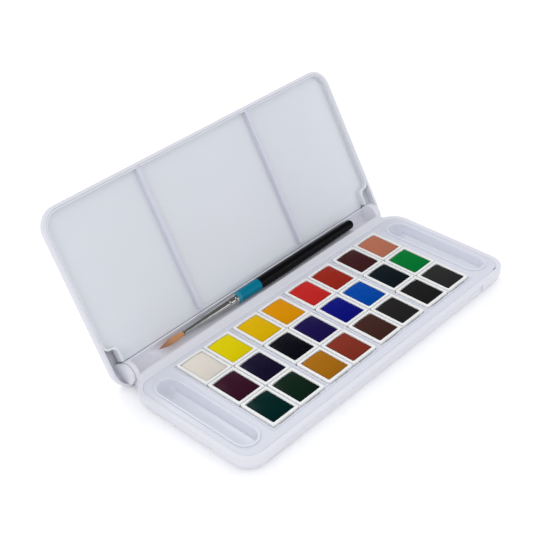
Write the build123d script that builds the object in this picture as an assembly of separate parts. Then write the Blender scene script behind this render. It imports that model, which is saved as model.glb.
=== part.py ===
from build123d import *
import os
from math import atan, cos, degrees, pi

# A folding watercolour box: a hinged shell with a mixing palette in its lid,
# a moulded tray with 24 half pans and two wells, and a short brush.
# Millimetres. +X runs along the box, +Y towards the hinge, +Z up.
# The origin is on the underside, below the middle of the pan grid.

# Box outline, shared by the base and the lid, set out round the pans and wells
front_margin = 8.15      # pan grid to the front wall
back_margin = 5.85       # pan grid to the back edge of the base
corner_round = 10.0

# Base shell
base_height = 8.5
base_edge_round = 6.0
base_rim_width = 2.4
base_floor = 1.4
base_inner_chamfer = 1.6
recess_end_inset = 21.9  # shallow finger recess along the front wall
recess_depth = 0.9
recess_lip = 0.8
recess_bottom = 2.0

# Hinge barrel with the brush trough in it
hinge_reach = 7.8        # back edge of the base to the hinge axis
hinge_z = 7.9
barrel_radius = 5.3
trough_half_width = 4.4
trough_end_inset = 9.5   # end of the box to the inside of an end disc
disc_thickness = 2.2
trough_back_top = 10.0
trough_back_wall = 0.9
trough_floor = 6.2
trough_floor_round = 2.0
scoop_length = 16.0      # finger scoops at both ends of the trough
neck_front_overlap = 3.0
neck_bottom = 2.6
neck_barrel_gap = 3.6    # back of the neck, inside the barrel, to the hinge axis

# Hinge pins on the lid, in blind bores in the end discs
pin_radius = 1.5
pin_clearance = 0.05
bore_wall = 0.5
pin_end_gap = 0.2

# Lid cover
lid_gap = 0.1            # between the two rims when closed
lid_depth = 7.65
lid_edge_round = 6.2
lid_wall = 1.4
lid_inner_chamfer = 3.4  # round the lid's ceiling
lid_back_reach = 6.85    # hinge axis to the outside of the back wall
lid_back_wall = 1.0
ear_gap = 0.3            # between an end disc and the ear beside it
ear_thickness = 1.4
ear_radius = 5.0         # round the hinge axis
open_angle = 119.6

# Mixing palette in the lid
palette_gap = 0.1
palette_wall = 0.8
palette_drop = 3.0       # lid rim down to the palette floor
palette_floor = 0.9
palette_shoulder_gap = 13.7  # shoulders to the hinge axis
palette_neck_inset = 8.6
palette_neck_wall = 1.3
palette_back_gap = 5.6   # open back edge to the hinge axis
palette_flap = 0.8       # floor past that edge
shoulder_round = 2.8
palette_rib_width = 2.1
palette_rib_drop = 0.4
palette_rib_end_gap = 1.4

# Half pans: three rows, with the columns in four pairs
row_count = 3
pair_count = 4
pan_width = 15.6
pan_length = 19.0
pan_height = 7.8
pan_corner = 0.7
pan_draft = 3.5
pan_wall_x = 1.3
pan_wall_y = 1.35
pan_floor = 1.0
pocket_corner = 0.9
column_gap = 0.94        # between the two pans of a pair
pair_gap = 2.3           # added between pairs, for the wide ridge
row_gap = 0.7
pan_clearance = 0.15
paint_drop = 0.2         # pan rim down to the crown of the cake
paint_crown_radius = 26.0
paint_clearance = 0.05

# Moulded tray
tray_gap = 0.1
deck_thickness = 1.2
tray_floor = 0.6
rib_rise = 0.7           # ribs between paired pans, above the deck
ridge_rise = 0.3         # wide ridges between pairs, and the border
ridge_groove_width = 0.5
ridge_groove_depth = 0.9
post_radius = 0.65
pan_box_wall = 1.25
border_width = 0.6
notch_length = 9.0
notch_depth = 0.6
corner_slot_inset = 8.2
corner_slot_length = 2.6
corner_slot_width = 0.9

# Mixing wells at both ends of the tray
well_pan_gap = 3.91      # pan box to the lip of a well
well_end_gap = 2.85      # lip of a well to the end of the tray
well_front_reach = 0.95  # past the pan grid
well_back_inset = 1.35   # short of the pan grid
well_lip_half = 6.3
well_lip_width = 0.8
well_lip_rise = 0.6
well_floor_half = 4.2
well_depth = 4.3         # lip down to the floor
well_wall = 1.0

# Brush, lying in the trough with its hair towards -X
brush_sides = 16         # its round sections are drawn with this many flats
brush_offset = 0.6       # behind the hinge axis
brush_tip_gap = 16.4     # end disc to the tip of the hair
hair_length = 15.1
ferrule_length = 34.8
hair_root_radius = 1.1
hair_root_length = 5.0
hair_belly_at = 9.5      # from the tip
hair_belly_radius = 1.7
hair_taper_at = 3.5
hair_taper_radius = 0.95
hair_tip_radius = 0.2
ferrule_front_radius = 1.35
ferrule_back_radius = 2.65
ferrule_lip = 0.2
ferrule_lip_length = 1.0
crimp_depth = 0.25
crimp_half = 0.55
crimp_back = (5.5, 1.7)  # from the handle end of the ferrule
socket_clearance = 0.03
handle_neck_radius = 2.75
handle_belly_at = 28.6   # from the ferrule
handle_belly_radius = 3.1
handle_waist_at = 56.6
handle_waist_radius = 2.85
handle_tail_at = 84.0
handle_tail_radius = 2.45
handle_nose_at = 85.9
handle_nose_radius = 1.6
handle_length = 86.6
handle_end_radius = 0.7
tang_radius = 2.0
tang_length = 8.0

# Construction
cut_overshoot = 1.0      # how far a cut runs past the face that it opens
post_sides = 8

# Places worked out from the sizes above
pan_seat_z = base_floor + tray_floor
pan_rim_z = pan_seat_z + pan_height
deck_z = base_height
pan_pitch = pan_width + column_gap
pair_pitch = 2 * pan_pitch + pair_gap
row_pitch = pan_length + row_gap
cell_width = pan_width + 2 * pan_clearance
grid_half_x = (pair_count - 1) * pair_pitch / 2 + pan_pitch / 2 + cell_width / 2
grid_half_y = (row_count - 1) * row_pitch / 2 + pan_length / 2 + pan_clearance
pair_xs = [(i - (pair_count - 1) / 2) * pair_pitch for i in range(pair_count)]
column_xs = [x + side * pan_pitch / 2 for x in pair_xs for side in (-1, 1)]
row_ys = [((row_count - 1) / 2 - i) * row_pitch for i in range(row_count)]

tray_inset = base_rim_width + tray_gap
well_x = grid_half_x + pan_box_wall + well_pan_gap + well_lip_half
well_front = -grid_half_y - well_front_reach
well_back = grid_half_y - well_back_inset
well_half = well_lip_half - well_lip_width
lip_z = deck_z + well_lip_rise
well_floor_z = lip_z - well_depth
well_ball_y = well_back - well_lip_half
half_length = well_x + well_lip_half + well_end_gap + tray_inset

box_front = -grid_half_y - front_margin
base_back_y = grid_half_y + back_margin
hinge_y = base_back_y + hinge_reach
lid_rim_z = base_height + lid_gap
lid_top_z = lid_rim_z + lid_depth
lid_back_y = hinge_y + lid_back_reach
disc_in = half_length - trough_end_inset
disc_out = disc_in + disc_thickness
ear_in = disc_out + ear_gap
palette_neck_half = half_length - palette_neck_inset
palette_shoulder_y = hinge_y - palette_shoulder_gap
palette_back_y = hinge_y - palette_back_gap

brush_y = hinge_y + brush_offset
brush_z = trough_floor + handle_belly_radius + socket_clearance
brush_tip_x = brush_tip_gap - disc_in
hair_end_x = brush_tip_x + hair_length
ferrule_end_x = hair_end_x + ferrule_length


def span(x0, x1, y0, y1, z0, z1):
    """A block between two opposite corners."""
    middle = Pos((x0 + x1) / 2, (y0 + y1) / 2, (z0 + z1) / 2)
    return middle * Box(x1 - x0, y1 - y0, z1 - z0)


def slab(half_x, y0, y1, z0, z1, corner):
    """A plate with rounded corners, centred on x = 0."""
    outline = RectangleRounded(2 * half_x, y1 - y0, corner)
    return extrude(Pos(0, (y0 + y1) / 2, z0) * outline, z1 - z0)


def rod_x(x0, x1, radius, y=hinge_y, z=hinge_z):
    """A round bar along X."""
    return Pos((x0 + x1) / 2, y, z) * Rot(0, 90, 0) * Cylinder(radius, x1 - x0)


def cut_corner_slab(half_x, y0, y1, z0, z1, cut, draft=0):
    """A plate with cut corners, centred on x = 0, that narrows upwards by its draft."""
    outline = chamfer(Rectangle(2 * half_x, y1 - y0).vertices(), cut)
    return extrude(Pos(0, (y0 + y1) / 2, z0) * outline, z1 - z0, taper=draft)


def tapered_bar(x0, radius0, x1, radius1):
    """A many-sided bar on the brush's axis, from one radius to another."""
    if radius0 < radius1:
        return tapered_bar(x1, radius1, x0, radius0)
    flat = cos(pi / brush_sides)
    draft = degrees(atan((radius0 - radius1) * flat / abs(x1 - x0)))
    bar = extrude(RegularPolygon(radius0, brush_sides), abs(x1 - x0), taper=draft)
    turn = Rot(0, 90, 0) if x1 > x0 else Rot(0, -90, 0)
    return Pos(x0, brush_y, brush_z) * turn * bar


def turned_bar(profile):
    """Tapered bars joined end to end through (x, radius) pairs."""
    bar = tapered_bar(*profile[0], *profile[1])
    for start, end in zip(profile[1:], profile[2:]):
        bar += tapered_bar(*start, *end)
    return bar


def base_body():
    """The outer form of the base with its rounded underside."""
    body = slab(half_length, box_front, base_back_y, 0, base_height, corner_round)
    return fillet(body.edges().group_by(Axis.Z)[0], base_edge_round)


def base_cavity():
    """The room in the base: a rounded seat for the tray's deck above a plainer well."""
    half = half_length - base_rim_width
    front = box_front + base_rim_width
    back = base_back_y - base_rim_width
    corner = corner_round - base_rim_width
    seat_z = deck_z - deck_thickness
    well = cut_corner_slab(half, front, back, base_floor, seat_z, corner)
    well = chamfer(well.edges().group_by(Axis.Z)[0], base_inner_chamfer)
    return well + slab(half, front, back, seat_z, base_height, corner)


def hinge_barrel():
    """The round barrel behind the base, with a full disc at each end."""
    barrel = rod_x(-disc_out, disc_out, barrel_radius)
    front = hinge_y - barrel_radius
    back = hinge_y + barrel_radius
    top = hinge_z + barrel_radius
    opened = span(-disc_in, disc_in, front, back, base_height, top)
    wall_y = hinge_y + trough_half_width
    wall_top = trough_back_top
    back_wall = span(-disc_in, disc_in, wall_y, wall_y + trough_back_wall, hinge_z, wall_top)
    neck_front = base_back_y - neck_front_overlap
    neck_back = hinge_y - neck_barrel_gap
    neck = span(-disc_out, disc_out, neck_front, neck_back, neck_bottom, base_height)
    return (barrel - opened) + back_wall + neck


def trough():
    """The brush channel, with a deeper ball-ended scoop at each end."""
    near = hinge_y - trough_half_width
    far = hinge_y + trough_half_width
    top = hinge_z + barrel_radius
    channel = span(-disc_in, disc_in, near, far, trough_floor, top)
    floor_edges = channel.edges().filter_by(Axis.X).group_by(Axis.Z)[0]
    channel = fillet(floor_edges, trough_floor_round)
    for side in (-1, 1):
        ball_x = side * (disc_in - scoop_length + trough_half_width)
        x0, x1 = sorted((ball_x, side * disc_in))
        channel += rod_x(x0, x1, trough_half_width)
        channel += Pos(ball_x, hinge_y, hinge_z) * Sphere(trough_half_width)
    return channel


def base_shell():
    shell = base_body() + hinge_barrel() - base_cavity() - trough()
    recess_top = base_height - recess_lip
    recess_back = box_front + recess_depth
    half_recess = half_length - recess_end_inset
    recess_front = box_front - cut_overshoot
    shell -= span(-half_recess, half_recess, recess_front, recess_back, recess_bottom, recess_top)
    bore_end = disc_in + bore_wall
    for side in (-1, 1):
        x0, x1 = sorted((side * bore_end, side * disc_out))
        shell -= rod_x(x0, x1, pin_radius + pin_clearance)
    return shell


def stadium(half_width, y0, y1, z):
    """A long slot outline for a mixing well, centred on x = 0."""
    middle = (y0 + y1) / 2
    return Pos(0, middle, z) * SlotOverall(y1 - y0, 2 * half_width, rotation=90)


def well_bowl():
    """The outer form of a well, with a deeper round end towards the hinge."""
    bowl_z = well_floor_z - well_wall
    ball_z = lip_z - well_half - well_wall
    bowl = extrude(stadium(well_lip_half, well_front, well_back, bowl_z), lip_z - bowl_z)
    boss = Cylinder(well_lip_half, bowl_z - ball_z)
    return bowl + Pos(0, well_ball_y, (bowl_z + ball_z) / 2) * boss


def well_hollow():
    """The drafted hollow of a well, which opens into a ball at its hinge end."""
    draft = degrees(atan((well_half - well_floor_half) / well_depth))
    outline = stadium(well_half, well_front + well_lip_width, well_back - well_lip_width, lip_z)
    hollow = extrude(outline, well_depth, dir=(0, 0, -1), taper=draft)
    hollow &= span(-well_half, well_half, well_front, well_ball_y, well_floor_z, lip_z)
    return hollow + Pos(0, well_ball_y, lip_z) * Sphere(well_half)


def at_both_wells(shape):
    return [Pos(side * well_x, 0, 0) * shape for side in (-1, 1)]


def pan_box():
    """The block that holds the pans, with a raised border round it."""
    half_x = grid_half_x + pan_box_wall
    half_y = grid_half_y + pan_box_wall
    box = span(-half_x, half_x, -half_y, half_y, base_floor, deck_z + ridge_rise)
    inner_x = half_x - border_width
    inner_y = half_y - border_width
    top = deck_z + ridge_rise
    return box - span(-inner_x, inner_x, -inner_y, inner_y, deck_z, top)


def pan_channels():
    """One channel for each column of pans, with a finger notch at its front."""
    channels = []
    half_cell = cell_width / 2
    half_notch = notch_length / 2
    front = -grid_half_y
    for x in column_xs:
        channels.append(span(x - half_cell, x + half_cell, front, grid_half_y, pan_seat_z, pan_rim_z))
        notch_front = front - notch_depth
        channels.append(span(x - half_notch, x + half_notch, notch_front, front, pan_seat_z, pan_rim_z))
    return channels


def pan_ribs():
    """Thin ribs inside each pair, wide grooved ridges between pairs, and posts."""
    ribs = []
    back = grid_half_y
    rib_half = (pan_pitch - cell_width) / 2
    ridge_half = (pair_pitch - pan_pitch - cell_width) / 2
    groove_half = ridge_groove_width / 2
    rib_top = deck_z + rib_rise
    ridge_top = deck_z + ridge_rise
    groove_z = ridge_top - ridge_groove_depth
    gap_ys = [(a + b) / 2 for a, b in zip(row_ys, row_ys[1:])]
    for x in pair_xs:
        ribs.append(span(x - rib_half, x + rib_half, -back, back, pan_seat_z, rib_top))
        for y in gap_ys:
            post = Pos(x, y, pan_seat_z) * RegularPolygon(post_radius, post_sides)
            ribs.append(extrude(post, rib_top - pan_seat_z))
    for a, b in zip(pair_xs, pair_xs[1:]):
        x = (a + b) / 2
        ridge = span(x - ridge_half, x + ridge_half, -back, back, pan_seat_z, ridge_top)
        ribs.append(ridge - span(x - groove_half, x + groove_half, -back, back, groove_z, ridge_top))
    return ribs


def pan_tray():
    deck = slab(
        half_length - tray_inset,
        box_front + tray_inset,
        base_back_y - tray_inset,
        deck_z - deck_thickness,
        deck_z,
        corner_round - tray_inset,
    )
    tray = deck + pan_box() + at_both_wells(well_bowl())
    for channel in pan_channels():
        tray -= channel
    for rib in pan_ribs():
        tray += rib
    tray -= at_both_wells(well_hollow())
    slot_x = half_length - corner_slot_inset
    slot_x0 = slot_x - corner_slot_length / 2
    slot_x1 = slot_x + corner_slot_length / 2
    slot_y0 = box_front + tray_inset - cut_overshoot
    slot_y1 = box_front + tray_inset + corner_slot_width
    return tray - span(slot_x0, slot_x1, slot_y0, slot_y1, 0, deck_z)


def hinge_open(shape):
    """Turn a lid piece from closed to its open rest place."""
    return shape.rotate(Axis((0, hinge_y, hinge_z), (-1, 0, 0)), open_angle)


def lid_cover():
    """The lid's outer shell, with two ears and pins at the hinge."""
    outer = slab(half_length, box_front, lid_back_y, lid_rim_z, lid_top_z, corner_round)
    outer = fillet(outer.edges().group_by(Axis.Z)[-1], lid_edge_round)
    ceiling = lid_top_z - lid_wall
    half = half_length - lid_wall
    front = box_front + lid_wall
    back = lid_back_y - lid_back_wall
    corner = corner_round - lid_wall
    seat_z = lid_rim_z + palette_drop + palette_floor + palette_gap
    draft = degrees(atan(lid_inner_chamfer / (ceiling - seat_z)))
    cover = outer - slab(half, front, back, lid_rim_z, seat_z, corner)
    cover -= cut_corner_slab(half, front, back, seat_z, ceiling, corner, draft)
    for side in (-1, 1):
        face = side * ear_in
        x0, x1 = sorted((face, side * (ear_in + ear_thickness)))
        ear_front = hinge_y - ear_radius
        ear_back = hinge_y + ear_radius
        ear = span(x0, x1, ear_front, ear_back, lid_rim_z, ceiling)
        ear += rod_x(x0, x1, ear_radius)
        pin_tip = side * (disc_in + bore_wall + pin_end_gap)
        p0, p1 = sorted((pin_tip, face))
        cover += ear + rod_x(p0, p1, pin_radius)
    return hinge_open(cover)


def palette_outline(half, front, shoulder, neck_half, back, front_round):
    """A wide front whose rounded shoulders step in to a narrower back."""
    wide = Pos(0, (front + shoulder) / 2) * Rectangle(2 * half, shoulder - front)
    narrow = Pos(0, (front + back) / 2) * Rectangle(2 * neck_half, back - front)
    outline = wide + narrow
    outline = fillet(outline.vertices().group_by(Axis.Y)[0], front_round)
    shoulders = [p for p in outline.vertices() if abs(p.Y - shoulder) < palette_gap]
    return fillet(shoulders, shoulder_round)


def lid_palette():
    """The palette insert: a low-walled floor with two dividing ribs."""
    outer_half = half_length - lid_wall - palette_gap
    outer_front = box_front + lid_wall + palette_gap
    half = outer_half - palette_wall
    front = outer_front + palette_wall
    front_round = corner_round - lid_wall - palette_gap
    outer = palette_outline(
        outer_half,
        outer_front,
        palette_shoulder_y + palette_wall,
        palette_neck_half + palette_neck_wall,
        palette_back_y,
        front_round,
    )
    inner = palette_outline(
        half,
        front,
        palette_shoulder_y,
        palette_neck_half,
        palette_back_y + palette_neck_wall,
        front_round - palette_wall,
    )
    palette = extrude(Pos(0, 0, lid_rim_z) * outer, palette_drop + palette_floor)
    palette -= extrude(Pos(0, 0, lid_rim_z) * inner, palette_drop)
    rib_half = palette_rib_width / 2
    rib_x = (pair_xs[0] + pair_xs[1]) / 2
    rib_z = lid_rim_z + palette_rib_drop
    rib_back = palette_back_y - palette_rib_end_gap
    floor_z = lid_rim_z + palette_drop
    for x in (rib_x, -rib_x):
        palette += span(x - rib_half, x + rib_half, front, rib_back, rib_z, floor_z)
    flap_end = palette_back_y + palette_flap
    flap_top = floor_z + palette_floor
    flap_half = palette_neck_half
    palette += span(-flap_half, flap_half, palette_back_y, flap_end, floor_z, flap_top)
    return hinge_open(palette)


def pan_pocket(clearance):
    """The room inside a pan, less a clearance at its walls."""
    width = pan_width - 2 * (pan_wall_x + clearance)
    length = pan_length - 2 * (pan_wall_y + clearance)
    outline = chamfer(Rectangle(width, length).vertices(), pocket_corner)
    return extrude(Pos(0, 0, pan_seat_z + pan_floor) * outline, pan_height - pan_floor)


def half_pan():
    """One drafted pan, centred on the origin with its rim at the rim height."""
    outline = chamfer(Rectangle(pan_width, pan_length).vertices(), pan_corner)
    pan = Pos(0, 0, pan_rim_z) * Rot(180, 0, 0) * extrude(outline, pan_height, taper=pan_draft)
    return pan - pan_pocket(0)


def paint_cake():
    """The poured paint: it fills the pan, and its top arches over across the pan."""
    arch_z = pan_rim_z - paint_drop - paint_crown_radius
    arch = Pos(0, 0, arch_z) * Rot(90, 0, 0) * Cylinder(paint_crown_radius, pan_length)
    return pan_pocket(paint_clearance) & arch


def brush_handle():
    """The handle with its belly, waist and blunt end, and a tang for the ferrule."""
    handle = turned_bar([
        (ferrule_end_x, handle_neck_radius),
        (ferrule_end_x + handle_belly_at, handle_belly_radius),
        (ferrule_end_x + handle_waist_at, handle_waist_radius),
        (ferrule_end_x + handle_tail_at, handle_tail_radius),
        (ferrule_end_x + handle_nose_at, handle_nose_radius),
        (ferrule_end_x + handle_length, handle_end_radius),
    ])
    return handle + turned_bar([(ferrule_end_x - tang_length, tang_radius), (ferrule_end_x, tang_radius)])


def ferrule_radius(x):
    share = (x - hair_end_x) / ferrule_length
    return ferrule_front_radius + share * (ferrule_back_radius - ferrule_front_radius)


def brush_ferrule():
    """A tapered metal sleeve with a rolled lip and two crimped rings."""
    lip_x = hair_end_x + ferrule_lip_length
    profile = [(hair_end_x, ferrule_radius(hair_end_x) + ferrule_lip), (lip_x, ferrule_radius(lip_x))]
    for back in crimp_back:
        x = ferrule_end_x - back
        profile.append((x - crimp_half, ferrule_radius(x - crimp_half)))
        profile.append((x, ferrule_radius(x) - crimp_depth))
        profile.append((x + crimp_half, ferrule_radius(x + crimp_half)))
    profile.append((ferrule_end_x, ferrule_radius(ferrule_end_x)))
    root = hair_root_radius + socket_clearance
    tang = tang_radius + socket_clearance
    root_hole = turned_bar([(hair_end_x, root), (hair_end_x + hair_root_length, root)])
    tang_hole = turned_bar([(ferrule_end_x - tang_length, tang), (ferrule_end_x, tang)])
    return turned_bar(profile) - root_hole - tang_hole


def brush_hair():
    """The round of hair, with its root held in the ferrule."""
    hair = turned_bar([
        (hair_end_x, hair_root_radius),
        (brush_tip_x + hair_belly_at, hair_belly_radius),
        (brush_tip_x + hair_taper_at, hair_taper_radius),
        (brush_tip_x, hair_tip_radius),
    ])
    root_x = hair_end_x + hair_root_length
    return hair + turned_bar([(hair_end_x, hair_root_radius), (root_x, hair_root_radius)])


def write(shape, name):
    export_step(shape, f"parts/{name}.step")


os.makedirs("parts", exist_ok=True)
write(base_shell(), "base_shell")
write(pan_tray(), "pan_tray")
write(lid_cover(), "lid_cover")
write(lid_palette(), "lid_palette")
write(brush_handle(), "brush_handle")
write(brush_ferrule(), "brush_ferrule")
write(brush_hair(), "brush_hair")

pan = half_pan()
cake = paint_cake()
places = [(x, y) for y in row_ys for x in column_xs]
for number, (x, y) in enumerate(places, start=1):
    write(Pos(x, y) * pan, f"half_pan_{number:02d}")
    write(Pos(x, y) * cake, f"paint_{number:02d}")
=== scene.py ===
import math
import random

import bpy
from mathutils import Matrix, Vector


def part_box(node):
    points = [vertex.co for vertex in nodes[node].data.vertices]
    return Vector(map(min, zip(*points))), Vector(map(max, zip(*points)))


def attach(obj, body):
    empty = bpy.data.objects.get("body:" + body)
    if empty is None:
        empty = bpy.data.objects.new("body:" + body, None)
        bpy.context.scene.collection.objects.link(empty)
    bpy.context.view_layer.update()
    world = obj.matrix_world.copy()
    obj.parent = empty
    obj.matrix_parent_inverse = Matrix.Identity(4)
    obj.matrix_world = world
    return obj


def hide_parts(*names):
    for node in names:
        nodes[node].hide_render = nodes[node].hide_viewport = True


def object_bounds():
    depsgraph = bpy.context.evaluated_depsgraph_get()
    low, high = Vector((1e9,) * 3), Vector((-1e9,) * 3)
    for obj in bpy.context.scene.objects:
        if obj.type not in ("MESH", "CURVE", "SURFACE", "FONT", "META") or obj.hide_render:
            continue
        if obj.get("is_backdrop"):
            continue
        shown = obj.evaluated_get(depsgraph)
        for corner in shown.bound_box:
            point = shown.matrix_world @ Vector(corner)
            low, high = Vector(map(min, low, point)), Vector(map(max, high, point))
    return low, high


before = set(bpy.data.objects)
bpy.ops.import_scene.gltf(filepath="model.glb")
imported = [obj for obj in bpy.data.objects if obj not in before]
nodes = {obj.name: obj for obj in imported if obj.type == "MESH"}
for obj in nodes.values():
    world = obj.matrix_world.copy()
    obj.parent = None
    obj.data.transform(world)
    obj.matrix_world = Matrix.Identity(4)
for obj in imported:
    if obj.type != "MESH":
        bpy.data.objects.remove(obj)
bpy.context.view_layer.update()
mm = 0.001
print("frame loaded with", len(nodes), "nodes")


# helpers for working on one piece at a time

meshCare = {
    "samePoint": 0.001 * mm,
    "weld": 0.002 * mm,
    "onPlane": 0.01 * mm,
    "upright": 1.0 * mm,  # only a block's upright edges drop more than this
    "facingUp": 0.9,
    "flatness": 0.3,  # degrees between triangles that count as one face
}


def clearSelection():
    if bpy.context.mode != "OBJECT":
        bpy.ops.object.mode_set(mode="OBJECT")
    bpy.ops.object.select_all(action="DESELECT")


def pick(piece):
    clearSelection()
    piece.select_set(True)
    bpy.context.view_layer.objects.active = piece


def settle(piece):
    # the place goes into the mesh, so the object stands at the origin
    pick(piece)
    bpy.ops.object.transform_apply(location=True, rotation=True, scale=True)


def addBlock(middle, size):
    bpy.ops.mesh.primitive_cube_add(size=1, location=middle)
    block = bpy.context.object
    block.scale = size
    settle(block)
    return block


def mendNormals(piece):
    pick(piece)
    bpy.ops.object.mode_set(mode="EDIT")
    bpy.ops.mesh.select_all(action="SELECT")
    bpy.ops.mesh.remove_doubles(threshold=meshCare["samePoint"])
    bpy.ops.mesh.normals_make_consistent(inside=False)
    bpy.ops.object.mode_set(mode="OBJECT")


def selectWhere(piece, kind, test):
    # picks vertices, edges or faces in code, then goes back to edit mode
    bpy.ops.object.mode_set(mode="EDIT")
    bpy.ops.mesh.select_mode(type=kind)
    bpy.ops.mesh.select_all(action="DESELECT")
    bpy.ops.object.mode_set(mode="OBJECT")
    mesh = piece.data
    parts = {"VERT": mesh.vertices, "EDGE": mesh.edges, "FACE": mesh.polygons}[kind]
    found = 0
    for part in parts:
        if test(mesh, part):
            part.select = True
            found += 1
    bpy.ops.object.mode_set(mode="EDIT")
    return found


def isUpright(mesh, edge):
    first, second = (mesh.vertices[i].co for i in edge.vertices)
    return abs(first.z - second.z) > meshCare["upright"]


def bevelAll(piece, width, segments, angle):
    pick(piece)
    bevel = piece.modifiers.new("soften", "BEVEL")
    bevel.width = width
    bevel.segments = segments
    bevel.limit_method = "ANGLE"
    bevel.angle_limit = math.radians(angle)
    bevel.miter_outer = "MITER_ARC"
    bevel.harden_normals = False
    bpy.ops.object.modifier_apply(modifier=bevel.name)


def shade(piece, angle):
    pick(piece)
    bpy.ops.object.shade_smooth_by_angle(angle=math.radians(angle))


def copyOfNode(nodeName, pieceName):
    # a merged copy of a CAD node with its flat triangles joined up
    piece = bpy.data.objects.new(pieceName, nodes[nodeName].data.copy())
    bpy.context.scene.collection.objects.link(piece)
    pick(piece)
    if piece.data.has_custom_normals:
        bpy.ops.mesh.customdata_custom_splitnormals_clear()
    bpy.ops.object.mode_set(mode="EDIT")
    bpy.ops.mesh.select_all(action="SELECT")
    bpy.ops.mesh.remove_doubles(threshold=meshCare["weld"])
    bpy.ops.mesh.dissolve_limited(angle_limit=math.radians(meshCare["flatness"]))
    bpy.ops.object.mode_set(mode="OBJECT")
    return piece


def dress(piece, material, body, slotName, *stoodFor):
    piece.data.materials.clear()
    piece.data.materials.append(material)
    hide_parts(*stoodFor)
    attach(piece, body)


# helpers for the material nodes

def startMaterial(name):
    material = bpy.data.materials.new(name)
    material.use_nodes = True
    tree = material.node_tree
    shader = tree.nodes["Principled BSDF"]
    place = put(tree, "TexCoord").outputs["Object"]
    return material, tree, shader, place


def put(tree, kind, inputs=None, **settings):
    node = tree.nodes.new("ShaderNode" + kind)
    for key, value in settings.items():
        setattr(node, key, value)
    for key, value in (inputs or {}).items():
        node.inputs[key].default_value = value
    return node


def splitAxes(tree, vector):
    split = put(tree, "SeparateXYZ")
    tree.links.new(vector, split.inputs[0])
    return split.outputs


def mapVector(tree, vector, inputs):
    mapping = put(tree, "Mapping", inputs)
    tree.links.new(vector, mapping.inputs["Vector"])
    return mapping.outputs["Vector"]


def calc(tree, operation, *values):
    node = put(tree, "Math", operation=operation)
    for socket, value in zip(node.inputs, values):
        if isinstance(value, float):
            socket.default_value = value
        else:
            tree.links.new(value, socket)
    return node.outputs[0]


def noiseOn(tree, vector, scale, detail, roughness=0.5):
    # the look dictionaries give a noise as (scale, detail) or (scale, detail, roughness)
    noise = put(tree, "TexNoise", {"Scale": scale, "Detail": detail, "Roughness": roughness})
    tree.links.new(vector, noise.inputs["Vector"])
    return noise.outputs["Fac"]


def remap(tree, value, fromLow, fromHigh, toLow, toHigh):
    node = put(tree, "MapRange", {1: fromLow, 2: fromHigh, 3: toLow, 4: toHigh})
    tree.links.new(value, node.inputs[0])
    return node.outputs[0]


noiseSpan = (0.3, 0.7)  # most of a noise's values lie in here


def spreadNoise(tree, vector, scale, detail, roughness=0.5, low=0, high=1):
    return remap(tree, noiseOn(tree, vector, scale, detail, roughness), *noiseSpan, low, high)


def blendColours(tree, factor, first, second):
    node = put(tree, "Mix", data_type="RGBA")
    tree.links.new(factor, node.inputs["Factor"])
    for socket, colour in ((node.inputs[6], first), (node.inputs[7], second)):
        if isinstance(colour, tuple):
            socket.default_value = colour
        else:
            tree.links.new(colour, socket)
    return node.outputs[2]


def bumpFrom(tree, height, strength, distance, below=None):
    node = put(tree, "Bump", {"Strength": strength, "Distance": distance})
    tree.links.new(height, node.inputs["Height"])
    if below is not None:
        tree.links.new(below, node.inputs["Normal"])
    return node.outputs["Normal"]


def srgb(red, green, blue, lift=1.0):
    def linear(value):
        value = value / 255
        return value / 12.92 if value <= 0.04045 else ((value + 0.055) / 1.055) ** 2.4
    return tuple(min(1.0, linear(value) * lift) for value in (red, green, blue)) + (1.0,)


# moulded plastic, the same recipe for the box, its tray, its palette and the pans

mouldingLook = {
    "cloudNoise": (14, 2, 0.4),
    "grainNoise": (3200, 3, 0.7),
    "grainDepth": 0.06 * mm,
    # edges of the band of painted shade along each palette rib
    "ribShadeEdges": (1.5 * mm, 0.9 * mm),
    "soakColour": (1.0, 0.95, 0.9),
    "soakDepth": 1.2 * mm,
}
boxPlasticLook = {
    "tone": srgb(228, 228, 235),
    "shadeTone": srgb(226, 226, 234),
    "shine": 0.4,
    "roughness": 0.35,
    "grain": 0.01,
}
trayPlasticLook = {
    "tone": srgb(223, 225, 234),
    "shadeTone": srgb(221, 223, 233),
    "soak": 0.5,
    "shine": 0.5,
    "roughness": 0.28,
    "grain": 0.012,
}
palettePlasticLook = {
    "tone": srgb(225, 228, 234),
    "shadeTone": srgb(223, 226, 233),
    "soak": 0.35,
    "rib": 35.38 * mm,  # from the middle of the box to each rib
    # colour of the painted shade on the palette's ribs
    "ribShadeTone": srgb(216, 216, 229),
    "shine": 0.5,
    "roughness": 0.3,
    "grain": 0.005,
}
panPlasticLook = {
    "tone": srgb(241, 241, 240),
    "shadeTone": srgb(238, 238, 236),
    "soak": 0.6,
    "shine": 0.4,
    "roughness": 0.3,
    "grain": 0.01,
}


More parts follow.
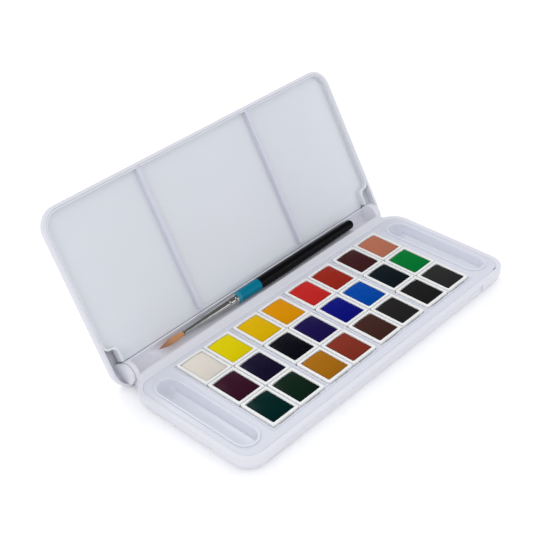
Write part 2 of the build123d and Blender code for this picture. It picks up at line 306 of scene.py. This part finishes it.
def mouldedPlastic(name, look):
    material, tree, shader, place = startMaterial(name)
    cloud = spreadNoise(tree, place, *mouldingLook["cloudNoise"])
    colour = blendColours(tree, cloud, look["tone"], look["shadeTone"])
    if "rib" in look:
        # painted shade: the palette's ribs are darkened a little against its floor, standing
        # in for the shade on their flanks
        side = calc(tree, "ABSOLUTE", splitAxes(tree, place)["X"])
        reach = calc(tree, "ABSOLUTE", calc(tree, "SUBTRACT", side, look["rib"]))
        ribShadeMask = remap(tree, reach, *mouldingLook["ribShadeEdges"], 0, 1)
        colour = blendColours(tree, ribShadeMask, colour, look["ribShadeTone"])
    tree.links.new(colour, shader.inputs["Base Color"])
    pits = noiseOn(tree, place, *mouldingLook["grainNoise"])
    grain = bumpFrom(tree, pits, look["grain"], mouldingLook["grainDepth"])
    tree.links.new(grain, shader.inputs["Normal"])
    shader.inputs["Roughness"].default_value = look["roughness"]
    if "soak" in look:
        # light soaks a little way into the thin walls
        shader.inputs["Subsurface Weight"].default_value = look["soak"]
        shader.inputs["Subsurface Radius"].default_value = mouldingLook["soakColour"]
        shader.inputs["Subsurface Scale"].default_value = mouldingLook["soakDepth"]
    shader.inputs["Specular IOR Level"].default_value = look["shine"]
    return material


boxPlastic = mouldedPlastic("boxPlastic", boxPlasticLook)
trayPlastic = mouldedPlastic("trayPlastic", trayPlasticLook)
palettePlastic = mouldedPlastic("palettePlastic", palettePlasticLook)
panPlastic = mouldedPlastic("panPlastic", panPlasticLook)
print("plastics mixed")


# box, tray and lid keep their CAD forms and get moulded edges

mouldingAngles = {"sharp": 32, "smooth": 30}


def mould(piece, shape):
    bevelAll(piece, shape["edge"], shape["segments"], mouldingAngles["sharp"])
    shade(piece, mouldingAngles["smooth"])


shellShape = {"edge": 0.25 * mm, "segments": 3}
baseShell = copyOfNode("base_shell", "baseMoulding")
mould(baseShell, shellShape)
dress(baseShell, boxPlastic, "base", "box_plastic", "base_shell")

trayShape = {"edge": 0.07 * mm, "segments": 2}
panTray = copyOfNode("pan_tray", "trayMoulding")
mould(panTray, trayShape)
dress(panTray, trayPlastic, "base", "tray_plastic", "pan_tray")

lidShape = {"edge": 0.2 * mm, "segments": 3}
lidCover = copyOfNode("lid_cover", "lidMoulding")
mould(lidCover, lidShape)
dress(lidCover, boxPlastic, "lid", "box_plastic", "lid_cover")

paletteShape = {
    "edge": 0.18 * mm,
    "segments": 3,
    "hinge": (43.0 * mm, 7.9 * mm),
    "openAngle": 119.6,
    "flapEnd": -4.8 * mm,  # along the open palette, from the hinge axis
    "flapGrow": 0.22 * mm,
    "flapFind": 0.02 * mm,
}


def growFlap(piece):
    # the palette's back edge reaches a little nearer the trough's wall
    turn = math.radians(paletteShape["openAngle"])
    hinge = Vector((0, *paletteShape["hinge"]))
    towards = Vector((0, math.cos(turn), -math.sin(turn)))

    def onFlapEnd(mesh, vert):
        along = (vert.co - hinge).dot(towards)
        return abs(along - paletteShape["flapEnd"]) < paletteShape["flapFind"]

    pick(piece)
    found = selectWhere(piece, "VERT", onFlapEnd)
    bpy.ops.transform.translate(value=towards * paletteShape["flapGrow"])
    bpy.ops.object.mode_set(mode="OBJECT")
    print("palette's back edge moved at", found, "points")


lidPalette = copyOfNode("lid_palette", "paletteMoulding")
growFlap(lidPalette)
mould(lidPalette, paletteShape)
dress(lidPalette, palettePlastic, "lid", "palette_plastic", "lid_palette")
print("box, tray and lid moulded")


# half pans

panShape = {
    "wall": 1.2 * mm,
    "depth": 6.6 * mm,
    "footInset": 0.45 * mm,
    "corner": 0.7 * mm,
    "cornerSegments": 4,
    "rimRound": 0.07 * mm,
    "rimSegments": 3,
    "lip": 0.08 * mm,
    "taper": 0.99,  # the pocket's floor against its mouth
    "sharp": 40,
    "smooth": 35,
}


def resizeAbout(x, y, z, acrossX, acrossY):
    bpy.ops.transform.resize(value=(acrossX, acrossY, 1), center_override=(x, y, z))


def makePan():
    low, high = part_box("half_pan_01")
    size = high - low
    middle = (low + high) / 2
    top, bottom = high.z, low.z
    pan = addBlock(middle, size)
    selectWhere(pan, "EDGE", isUpright)
    bpy.ops.mesh.bevel(
        offset=panShape["corner"], segments=panShape["cornerSegments"], affect="EDGES"
    )
    # drafted foot
    selectWhere(pan, "VERT", lambda mesh, vert: abs(vert.co.z - bottom) < meshCare["onPlane"])
    foot = 2 * panShape["footInset"]
    resizeAbout(middle.x, middle.y, bottom, 1 - foot / size.x, 1 - foot / size.y)
    # rim with a slight lip, then the pocket pushed down from it
    selectWhere(pan, "FACE", lambda mesh, face: face.normal.z > meshCare["facingUp"])
    lip = 2 * panShape["lip"]
    resizeAbout(middle.x, middle.y, top, 1 + lip / size.x, 1 + lip / size.y)
    wall = 2 * panShape["wall"]
    bpy.ops.mesh.extrude_region_move(TRANSFORM_OT_translate={"value": (0, 0, 0)})
    resizeAbout(middle.x, middle.y, top, 1 - wall / (size.x + lip), 1 - wall / (size.y + lip))
    bpy.ops.mesh.extrude_region_move(
        TRANSFORM_OT_translate={"value": (0, 0, -panShape["depth"])}
    )
    resizeAbout(middle.x, middle.y, bottom, panShape["taper"], panShape["taper"])
    bpy.ops.object.mode_set(mode="OBJECT")
    mendNormals(pan)
    bevelAll(pan, panShape["rimRound"], panShape["rimSegments"], panShape["sharp"])
    shade(pan, panShape["smooth"])
    return pan, middle


# paint cakes

cakeShape = {
    "size": (13.06 * mm, 15.9 * mm),
    "aside": 0.06 * mm,
    "forward": 0.2 * mm,
    "corner": 0.75 * mm,
    "cornerSegments": 5,
    "crown": 0.6 * mm,
    "rise": 0.2 * mm,
    "below": 3.0 * mm,
    "edge": 0.22 * mm,
    "edgeSegments": 3,
    "cuts": 11,
    "sharp": 50,
    "smooth": 40,
}
# row by row from the hinge, each from the left: name and colour
cakeColours = [
    ("creamWhite", (220, 213, 202)), ("lemon", (218, 200, 0)), ("warmYellow", (217, 174, 0)),
    ("orange", (215, 141, 0)), ("scarlet", (191, 38, 35)), ("crimson", (150, 38, 26)),
    ("madder", (63, 29, 31)), ("rosePink", (177, 108, 84)),
    ("plum", (53, 16, 35)), ("darkViolet", (21, 15, 42)), ("nightBlue", (11, 11, 20)),
    ("indigo", (25, 15, 71)), ("ultramarine", (9, 14, 115)), ("skyBlue", (0, 67, 157)),
    ("slate", (15, 25, 31)), ("brightGreen", (0, 113, 46)),
    ("deepGreen", (0, 35, 34)), ("bottleGreen", (13, 34, 23)), ("ochre", (157, 100, 14)),
    ("brickRed", (124, 46, 32)), ("umber", (62, 36, 31)), ("charcoal", (34, 32, 33)),
    ("greyBlack", (28, 28, 28)), ("lampBlack", (41, 41, 41)),
]
paintLook = {
    # painted shade on the near side of each cake and painted reflection towards the hinge
    "nearShade": 0.93,
    "reflectionLift": 1.13,
    "reflectionHaze": 0.002,
    "reflectionSlope": 7 * mm,
    "wanderNoise": (240, 3),
    "wander": 1.5 * mm,
    # painted shade along the cake's edge where it meets the pan
    "rimShade": 0.72,
    "rimHalves": (("X", 6.4 * mm), ("Y", 8.05 * mm)),
    "rimWidth": 0.5 * mm,
    "rimStrength": 0.7,
    "glossNoise": (420, 5),
    "roughness": (0.2, 0.32),
    "swellNoise": (160, 2),
    "swell": 0.04,
    "swellDepth": 0.5 * mm,
    "grainNoise": (2400, 4, 0.7),
    "grain": 0.06,
    "grainDepth": 0.05 * mm,
    "shine": 0.02,
    "seedStep": 3 * mm,
}


def paintMaterial(name, colour, centre, seed):
    material, tree, shader, place = startMaterial(name)
    look = paintLook
    shift = (-centre.x, -centre.y, seed * look["seedStep"])
    onCake = mapVector(tree, place, {"Location": shift})
    rimShadeTone = srgb(*colour, look["rimShade"])
    nearShadeTone = srgb(*colour, look["nearShade"])
    reflectionLifted = [value * look["reflectionLift"] + look["reflectionHaze"] for value in srgb(*colour)[:3]]
    lidReflectionTone = tuple(min(1.0, value) for value in reflectionLifted) + (1.0,)
    # painted reflection of the open lid makes the cake lighter towards the hinge, and painted
    # shade makes it darker at the near side
    axes = splitAxes(tree, onCake)
    wander = look["wander"]
    drift = spreadNoise(tree, onCake, *look["wanderNoise"], low=-wander, high=wander)
    along = calc(tree, "ADD", axes["Y"], drift)
    reflectionSlope = remap(tree, along, -look["reflectionSlope"], look["reflectionSlope"], 0, 1)
    mixed = blendColours(tree, reflectionSlope, nearShadeTone, lidReflectionTone)
    # painted shade: darker where the cake meets the pan
    rimShadeMasks = []
    for axis, half in look["rimHalves"]:
        away = calc(tree, "ABSOLUTE", axes[axis])
        rimShadeMasks.append(remap(tree, away, half - look["rimWidth"], half, 0, look["rimStrength"]))
    colourOut = blendColours(tree, calc(tree, "MAXIMUM", *rimShadeMasks), mixed, rimShadeTone)
    tree.links.new(colourOut, shader.inputs["Base Color"])
    low, high = look["roughness"]
    gloss = spreadNoise(tree, onCake, *look["glossNoise"], low=low, high=high)
    tree.links.new(gloss, shader.inputs["Roughness"])
    waves = noiseOn(tree, onCake, *look["swellNoise"])
    swell = bumpFrom(tree, waves, look["swell"], look["swellDepth"])
    pits = noiseOn(tree, onCake, *look["grainNoise"])
    grain = bumpFrom(tree, pits, look["grain"], look["grainDepth"], swell)
    tree.links.new(grain, shader.inputs["Normal"])
    shader.inputs["Specular IOR Level"].default_value = look["shine"]
    return material


def makeCake():
    low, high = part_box("half_pan_01")
    middle = (low + high) / 2
    middle.x += cakeShape["aside"]
    middle.y -= cakeShape["forward"]
    width, length = cakeShape["size"]
    top = high.z + cakeShape["rise"]
    bottom = top - cakeShape["below"]
    centre = (middle.x, middle.y, (top + bottom) / 2)
    cake = addBlock(centre, (width, length, top - bottom))
    selectWhere(cake, "EDGE", isUpright)
    bpy.ops.mesh.bevel(
        offset=cakeShape["corner"], segments=cakeShape["cornerSegments"], affect="EDGES"
    )
    # cuts across the cake let its top arch over
    for i in range(cakeShape["cuts"]):
        x = middle.x + width * ((i + 1) / (cakeShape["cuts"] + 1) - 0.5)
        bpy.ops.mesh.select_all(action="SELECT")
        bpy.ops.mesh.bisect(plane_co=(x, middle.y, top), plane_no=(1, 0, 0))
    bpy.ops.object.mode_set(mode="OBJECT")
    for vert in cake.data.vertices:
        if vert.co.z > top - meshCare["onPlane"]:
            share = abs(vert.co.x - middle.x) / (width / 2)
            vert.co.z -= cakeShape["crown"] * share ** 2
    mendNormals(cake)
    bevelAll(cake, cakeShape["edge"], cakeShape["edgeSegments"], cakeShape["sharp"])
    shade(cake, cakeShape["smooth"])
    return cake, middle


def placeCopy(model, pieceName, shift):
    piece = bpy.data.objects.new(pieceName, model.data.copy())
    bpy.context.scene.collection.objects.link(piece)
    piece.data.transform(Matrix.Translation(shift))
    return piece


panModel, panMiddle = makePan()
cakeModel, cakeMiddle = makeCake()
for number, (cakeName, colour) in enumerate(cakeColours, 1):
    label = f"{number:02d}"
    low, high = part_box("half_pan_" + label)
    shift = (low + high) / 2 - panMiddle
    pan = placeCopy(panModel, "pan" + label, shift)
    dress(pan, panPlastic, "pan_" + label, "pan_plastic", "half_pan_" + label)
    cake = placeCopy(cakeModel, "cake" + label, shift)
    paint = paintMaterial(cakeName + "Paint", colour, cakeMiddle + shift, number)
    dress(cake, paint, "pan_" + label, "paint_" + label, "paint_" + label)
for model in (panModel, cakeModel):
    bpy.data.objects.remove(model)
print("pans and paint cakes set in")


# brush, turned along X

low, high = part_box("brush_ferrule")
brushY = (low.y + high.y) / 2
brushZ = (low.z + high.z) / 2


def turnedPiece(name, profile, sides=64):
    # a circle extruded along the brush and resized at each step, from (x, radius) in mm
    x, radius = (value * mm for value in profile[0])
    bpy.ops.mesh.primitive_circle_add(
        vertices=sides, radius=radius, fill_type="NGON",
        location=(x, brushY, brushZ), rotation=(0, math.pi / 2, 0),
    )
    piece = bpy.context.object
    piece.name = name
    settle(piece)
    bpy.ops.object.mode_set(mode="EDIT")
    bpy.ops.mesh.select_mode(type="FACE")
    bpy.ops.mesh.select_all(action="SELECT")
    for step in profile[1:]:
        nextX, nextRadius = (value * mm for value in step)
        bpy.ops.mesh.extrude_region_move(TRANSFORM_OT_translate={"value": (nextX - x, 0, 0)})
        grow = nextRadius / radius
        bpy.ops.transform.resize(
            value=(1, grow, grow), center_override=(nextX, brushY, brushZ)
        )
        x, radius = nextX, nextRadius
    bpy.ops.object.mode_set(mode="OBJECT")
    mendNormals(piece)
    return piece


def smoothProfile(points, steps):
    # a smooth line through (x, radius) points
    profile = []
    count = len(points)
    for i in range(count - 1):
        (x0, r0), (x1, r1) = points[i], points[i + 1]
        run = x1 - x0
        slope0 = slope1 = (r1 - r0) / run
        if i > 0:
            before = points[i - 1]
            slope0 = (r1 - before[1]) / (x1 - before[0])
        if i < count - 2:
            after = points[i + 2]
            slope1 = (after[1] - r0) / (after[0] - x0)
        for step in range(steps):
            t = step / steps
            a = 2 * t ** 3 - 3 * t ** 2 + 1
            b = t ** 3 - 2 * t ** 2 + t
            c = -2 * t ** 3 + 3 * t ** 2
            d = t ** 3 - t ** 2
            radius = a * r0 + b * run * slope0 + c * r1 + d * run * slope1
            profile.append((x0 + run * t, radius))
    profile.append(points[-1])
    return profile


handleShape = {
    "outline": [
        (-16.6, 2.72), (-13.0, 2.8), (0.0, 3.02), (12.0, 3.1),
        (28.0, 2.98), (40.0, 2.85), (56.0, 2.62), (67.2, 2.46),
    ],
    "stepsBetween": 8,
    "endSteps": 9,
    "endTurn": 9.6,  # degrees round the end at each step
    "smooth": 40,
}


def makeHandle():
    profile = smoothProfile(handleShape["outline"], handleShape["stepsBetween"])
    endX, endRadius = handleShape["outline"][-1]
    for step in range(1, handleShape["endSteps"] + 1):
        turn = math.radians(step * handleShape["endTurn"])
        profile.append((endX + endRadius * math.sin(turn), endRadius * math.cos(turn)))
    handle = turnedPiece("brushHandle", profile)
    shade(handle, handleShape["smooth"])
    return handle


handleLook = {
    "band": srgb(46, 132, 152),
    "teal": (srgb(0, 114, 142), srgb(0, 120, 146)),
    "tealNoise": (320, 4),
    "black": (srgb(9, 9, 12), srgb(13, 13, 16)),
    "blackNoise": (260, 4),
    "bandEnd": -14.4 * mm,
    "bandBlur": 0.1 * mm,
    "tealEnd": -1.3 * mm,
    "tealBlur": 0.08 * mm,
    "bleedNoise": (900, 3),
    "bleed": 0.25 * mm,
    "glossNoise": (500, 3),
    "roughness": (0.12, 0.18),
    "rippleNoise": (420, 2),
    "ripple": 0.05,
    "rippleDepth": 0.2 * mm,
    "shine": 0.1,
}


def lacquer(name):
    material, tree, shader, place = startMaterial(name)
    look = handleLook
    # the colours change along the handle, at edges that bleed a little
    runs = noiseOn(tree, place, *look["bleedNoise"])
    bleed = remap(tree, runs, 0, 1, -look["bleed"], look["bleed"])
    along = calc(tree, "ADD", splitAxes(tree, place)["X"], bleed)
    teal = blendColours(tree, spreadNoise(tree, place, *look["tealNoise"]), *look["teal"])
    black = blendColours(tree, spreadNoise(tree, place, *look["blackNoise"]), *look["black"])
    colour = look["band"]
    for end, blur, paint in (("bandEnd", "bandBlur", teal), ("tealEnd", "tealBlur", black)):
        past = remap(tree, along, look[end] - look[blur], look[end] + look[blur], 0, 1)
        colour = blendColours(tree, past, colour, paint)
    tree.links.new(colour, shader.inputs["Base Color"])
    low, high = look["roughness"]
    gloss = spreadNoise(tree, place, *look["glossNoise"], low=low, high=high)
    tree.links.new(gloss, shader.inputs["Roughness"])
    waves = noiseOn(tree, place, *look["rippleNoise"])
    ripple = bumpFrom(tree, waves, look["ripple"], look["rippleDepth"])
    tree.links.new(ripple, shader.inputs["Normal"])
    shader.inputs["Specular IOR Level"].default_value = look["shine"]
    return material


handle = makeHandle()
dress(handle, lacquer("handleLacquer"), "brush", "handle_lacquer", "brush_handle")

ferruleShape = {
    "from": -51.4,
    "to": -16.6,
    "front": 1.35,
    "back": 2.65,
    "lip": 0.2,
    "lipLength": 1.2,
    "crimps": (-22.1, -18.3),
    "crimpHalf": 0.62,
    "crimpDepth": 0.4,
    # rings: close at the lip and the crimps, wide between and at the end
    "lipStep": 0.12,
    "lipRings": 11,
    "wideRings": (-49.0, -45.0, -40.0, -35.0, -30.0, -26.0, -23.4),
    "crimpStart": -22.95,
    "crimpStep": 0.11,
    "crimpRings": 50,
    "lastRing": -16.9,
    "smooth": 50,
}


def ferruleRadius(x):
    shape = ferruleShape
    share = (x - shape["from"]) / (shape["to"] - shape["from"])
    radius = shape["front"] + share * (shape["back"] - shape["front"])
    for middle in shape["crimps"]:
        away = abs(x - middle) / shape["crimpHalf"]
        if away < 1:
            radius -= shape["crimpDepth"] * (0.5 + 0.5 * math.cos(math.pi * away))
    if x < shape["from"] + shape["lipLength"]:
        radius += shape["lip"] * math.sin(math.pi * (x - shape["from"]) / shape["lipLength"])
    return radius


def makeFerrule():
    shape = ferruleShape
    rings = [shape["from"] + shape["lipStep"] * i for i in range(shape["lipRings"])]
    rings += shape["wideRings"]
    rings += [shape["crimpStart"] + shape["crimpStep"] * i for i in range(shape["crimpRings"])]
    rings += [shape["lastRing"], shape["to"]]
    ferrule = turnedPiece("brushFerrule", [(x, ferruleRadius(x)) for x in rings])
    shade(ferrule, shape["smooth"])
    return ferrule


ferruleLook = {
    "metal": srgb(206, 205, 203),
    "stain": srgb(190, 189, 189),
    "stainNoise": (300, 4, 0.6),
    "stainSpan": (0.35, 0.7),
    "drawnNoise": (2600, 4, 0.6),
    "drawnStretch": (0.06, 1, 1),
    "roughness": (0.14, 0.2),
    "scratch": 0.02,
    "scratchDepth": 0.02 * mm,
}


def ferruleMetal(name):
    material, tree, shader, place = startMaterial(name)
    look = ferruleLook
    patches = noiseOn(tree, place, *look["stainNoise"])
    stains = remap(tree, patches, *look["stainSpan"], 0, 1)
    colour = blendColours(tree, stains, look["metal"], look["stain"])
    tree.links.new(colour, shader.inputs["Base Color"])
    # fine lines along the drawn tube
    stretched = mapVector(tree, place, {"Scale": look["drawnStretch"]})
    drawn = noiseOn(tree, stretched, *look["drawnNoise"])
    gloss = remap(tree, drawn, *noiseSpan, *look["roughness"])
    tree.links.new(gloss, shader.inputs["Roughness"])
    scratches = bumpFrom(tree, drawn, look["scratch"], look["scratchDepth"])
    tree.links.new(scratches, shader.inputs["Normal"])
    shader.inputs["Metallic"].default_value = 1.0
    return material


ferrule = makeFerrule()
dress(ferrule, ferruleMetal("ferruleMetal"), "brush", "ferrule_metal", "brush_ferrule")

hairShape = {
    "outline": [
        (-50.4, 1.12), (-53.5, 1.5), (-57.0, 1.68), (-60.5, 1.42),
        (-63.5, 0.86), (-65.6, 0.34), (-66.45, 0.05),
    ],
    "roundness": 0.35,  # how far the outline curves between its points
    "coreSize": 0.8,
    "coreRings": 15,
    "coreShort": 1.2,
    "coreSides": 24,
    "strands": 170,
    "strandRadius": 0.15,
    "strandSides": 5,
    "steps": 12,
    "turn": 2.39996,  # radians from strand to strand, so that they fill the round
    "seed": 7,
    "wobble": 0.1,
    "shorter": 0.9,
    "twist": 0.12,
    "lay": (0.93, 1.0),
    "thinning": 0.88,
    "smooth": 60,
}


def tuftRadius(x):
    points = hairShape["outline"]
    curve = hairShape["roundness"]
    for (x0, r0), (x1, r1) in zip(points, points[1:]):
        if x1 <= x <= x0:
            t = (x0 - x) / (x0 - x1)
            t = t * t * (3 - 2 * t) * curve + t * (1 - curve)
            return r0 + (r1 - r0) * t
    return points[0][1] if x > points[0][0] else points[-1][1]


def makeTuft():
    shape = hairShape
    steps = shape["steps"]
    rings = shape["coreRings"]
    rootX, tipX = shape["outline"][0][0], shape["outline"][-1][0]
    coreRun = tipX + shape["coreShort"] - rootX
    coreXs = [rootX + coreRun * i / (rings - 1) for i in range(rings)]
    core = [(x, tuftRadius(x) * shape["coreSize"]) for x in coreXs]
    pieces = [turnedPiece("tuftCore", core, shape["coreSides"])]
    # one strand along X, bent into place for every copy
    straight = [
        (rootX + (tipX - rootX) * i / steps, shape["strandRadius"]) for i in range(steps + 1)
    ]
    strand = turnedPiece("strand", straight, shape["strandSides"])
    shaker = random.Random(shape["seed"])
    for i in range(shape["strands"]):
        share = math.sqrt((i + 0.5) / shape["strands"])
        angle = i * shape["turn"] + shaker.uniform(-shape["wobble"], shape["wobble"])
        shorter = shaker.uniform(0.0, shape["shorter"])
        twist = shaker.uniform(-shape["twist"], shape["twist"])
        lay = shaker.uniform(*shape["lay"])
        mesh = strand.data.copy()
        for vert in mesh.vertices:
            x = vert.co.x / mm
            t = (rootX - x) / (rootX - tipX)
            x = rootX - t * (rootX - tipX - shorter)
            radius = max(tuftRadius(x) - shape["strandRadius"], 0.0) * share * lay
            thin = 1 - shape["thinning"] * t ** 3
            around = angle + twist * t
            offY = (vert.co.y - brushY) * thin
            offZ = (vert.co.z - brushZ) * thin
            vert.co = Vector((
                x * mm,
                brushY + radius * math.cos(around) * mm + offY,
                brushZ + radius * math.sin(around) * mm + offZ,
            ))
        copy = bpy.data.objects.new("strandCopy", mesh)
        bpy.context.scene.collection.objects.link(copy)
        pieces.append(copy)
    bpy.data.objects.remove(strand)
    clearSelection()
    for piece in pieces:
        piece.select_set(True)
    bpy.context.view_layer.objects.active = pieces[0]
    bpy.ops.object.join()
    tuft = bpy.context.object
    tuft.name = "brushTuft"
    shade(tuft, shape["smooth"])
    return tuft


hairLook = {
    "root": srgb(216, 160, 114),
    "mid": srgb(198, 142, 98),
    "tip": srgb(150, 100, 76),
    "tipSpan": (-57.5 * mm, -65.5 * mm),
    "strandNoise": (5200, 3, 0.6),
    "strandStretch": (0.04, 1, 1),
    "strandBump": 0.25,
    "strandDepth": 0.05 * mm,
    "roughness": (0.38, 0.55),
}


def hairMaterial(name):
    material, tree, shader, place = startMaterial(name)
    look = hairLook
    stretched = mapVector(tree, place, {"Scale": look["strandStretch"]})
    strands = noiseOn(tree, stretched, *look["strandNoise"])
    streaks = remap(tree, strands, *noiseSpan, 0, 1)
    towardsTip = remap(tree, splitAxes(tree, place)["X"], *look["tipSpan"], 0, 1)
    colour = blendColours(tree, streaks, look["root"], look["mid"])
    colour = blendColours(tree, towardsTip, colour, look["tip"])
    tree.links.new(colour, shader.inputs["Base Color"])
    bump = bumpFrom(tree, strands, look["strandBump"], look["strandDepth"])
    tree.links.new(bump, shader.inputs["Normal"])
    gloss = remap(tree, strands, *noiseSpan, *look["roughness"])
    tree.links.new(gloss, shader.inputs["Roughness"])
    return material


tuft = makeTuft()
dress(tuft, hairMaterial("tuftHair"), "brush", "brush_hair", "brush_hair")
print("brush laid in its trough")


# camera at the photograph's place

cameraLook = {
    "place": (-0.32089, -0.27343, 0.33812),
    "azimuth": -46.003,
    "elevation": 35.455,
    "roll": -2.092,
    "focalPixels": 1155.1,
    "imagePixels": 540,
    "sensor": 36,
    "nearest": 0.01,
}


def aimCamera():
    look = cameraLook
    camera = bpy.data.objects.new("camera", bpy.data.cameras.new("camera"))
    bpy.context.scene.collection.objects.link(camera)
    bpy.context.scene.camera = camera
    azimuth = math.radians(look["azimuth"])
    elevation = math.radians(look["elevation"])
    roll = math.radians(look["roll"])
    back = Vector((
        math.sin(azimuth) * math.cos(elevation),
        -math.cos(azimuth) * math.cos(elevation),
        math.sin(elevation),
    ))
    right = (-back).cross(Vector((0, 0, 1))).normalized()
    up = right.cross(-back)
    turned = right * math.cos(roll) + up * math.sin(roll)
    up = up * math.cos(roll) - right * math.sin(roll)
    view = Matrix((turned, up, back)).transposed().to_4x4()
    view.translation = Vector(look["place"])
    camera.matrix_world = view
    camera.data.sensor_width = look["sensor"]
    camera.data.lens = look["focalPixels"] / look["imagePixels"] * look["sensor"]
    camera.data.clip_start = look["nearest"]


aimCamera()
print("camera aimed")


# floor, world and studio light

floorLook = {
    "size": 6.0,
    "below": 0.1 * mm,
    "tone": srgb(250, 250, 251),
    "drift": srgb(253, 253, 253),
    "fibreNoise": (30, 3),
    "roughness": 0.9,
    "glow": 0.16,  # for the camera only, so that the paper comes out white
}
worldLook = {"tone": (0.97, 0.98, 1.0, 1.0), "strength": 0.88, "reflected": 0.15}
lampTarget = Vector((0, 0.01, 0.02))
lamps = [
    # name, place, size, power
    ("skyBox", (0.25, 0.9, 0.82), 0.35, 2.8),
    ("leftBox", (-0.8, -0.25, 0.6), 0.5, 1.0),
    ("glintBox", (0.62, -0.74, 0.36), 0.42, 0.65),
]


def cameraSwitch(tree):
    # one for rays from the camera, nought for light and reflections
    return put(tree, "LightPath").outputs["Is Camera Ray"]


def layFloor():
    bpy.ops.mesh.primitive_plane_add(
        size=floorLook["size"], location=(0, 0, -floorLook["below"])
    )
    floor = bpy.context.object
    floor.name = "floor"
    material, tree, shader, place = startMaterial("floorPaper")
    fibres = spreadNoise(tree, place, *floorLook["fibreNoise"])
    paper = blendColours(tree, fibres, floorLook["tone"], floorLook["drift"])
    tree.links.new(paper, shader.inputs["Base Color"])
    shader.inputs["Roughness"].default_value = floorLook["roughness"]
    shader.inputs["Specular IOR Level"].default_value = 0.0
    shader.inputs["Emission Color"].default_value = (1, 1, 1, 1)
    glow = calc(tree, "MULTIPLY", cameraSwitch(tree), floorLook["glow"])
    tree.links.new(glow, shader.inputs["Emission Strength"])
    floor.data.materials.append(material)
    floor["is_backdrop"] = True


def hangBackdrop():
    world = bpy.data.worlds.new("studio")
    bpy.context.scene.world = world
    world.use_nodes = True
    tree = world.node_tree
    tree.nodes.clear()
    output = put(tree, "OutputWorld")
    seen = put(tree, "Background", {"Color": (1, 1, 1, 1), "Strength": 1.0})
    lit = put(tree, "Background", {"Color": worldLook["tone"]})
    # reflections see a dimmer room than the light that falls on the set
    glossy = put(tree, "LightPath").outputs["Is Glossy Ray"]
    level = remap(tree, glossy, 0, 1, worldLook["strength"], worldLook["reflected"])
    tree.links.new(level, lit.inputs["Strength"])
    mix = put(tree, "MixShader")
    tree.links.new(cameraSwitch(tree), mix.inputs[0])
    tree.links.new(lit.outputs[0], mix.inputs[1])
    tree.links.new(seen.outputs[0], mix.inputs[2])
    tree.links.new(mix.outputs[0], output.inputs["Surface"])


def hangLamps():
    for name, place, size, power in lamps:
        light = bpy.data.lights.new(name, "AREA")
        light.size = size
        light.energy = power
        lamp = bpy.data.objects.new(name, light)
        bpy.context.scene.collection.objects.link(lamp)
        lamp.location = place
        lamp.rotation_mode = "QUATERNION"
        lamp.rotation_quaternion = (Vector(place) - lampTarget).to_track_quat("Z", "Y")


layFloor()
hangBackdrop()
hangLamps()
bpy.context.scene.view_settings.view_transform = "Standard"
print("studio lit")

low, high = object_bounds()
